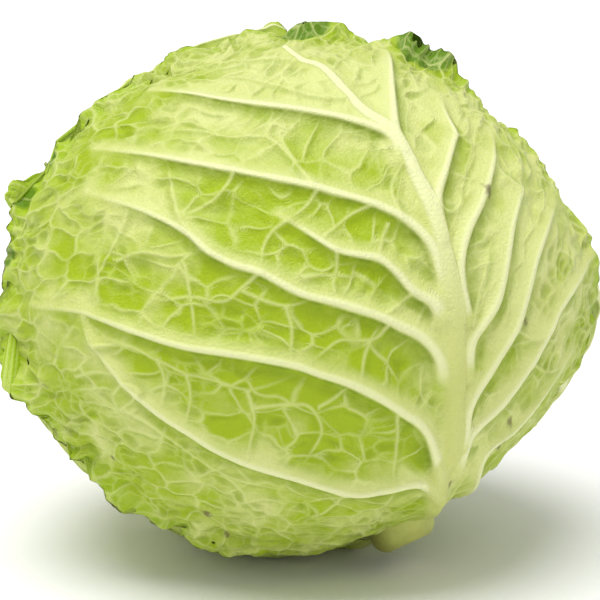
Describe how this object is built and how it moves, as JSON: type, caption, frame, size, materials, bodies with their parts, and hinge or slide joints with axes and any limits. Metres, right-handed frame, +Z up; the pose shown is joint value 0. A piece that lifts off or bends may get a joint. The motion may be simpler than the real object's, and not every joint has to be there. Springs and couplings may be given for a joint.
{
  "type": "green cabbage",
  "caption": "Savoy cabbage head cut from its root, lying with its stem end down, wrapped in puckered, netted leaves with frilled margins.",
  "frame": {"origin": "on the surface that the head lies on, straight below the middle of the head", "axes": "+Z up; +X to the viewer's right along the head's longest side; -Y towards the viewer, on the side of the front leaf"},
  "size_m": [0.2012, 0.1849, 0.1762],
  "materials": {
    "wrapper_leaf": "waxy, softly shining leaf",
    "inner_leaf": "waxy, softly shining pale leaf",
    "heart_leaf": "smooth, moist pale leaf",
    "stem": "matt, fibrous cut stem"
  },
  "bodies": {
    "root": {"leaf_front": "wrapper_leaf", "leaf_back": "wrapper_leaf", "leaf_right": "wrapper_leaf", "leaf_crown_left": "inner_leaf", "leaf_crown_back": "inner_leaf", "heart": "heart_leaf", "stem": "stem"}
  },
  "joints": []
}
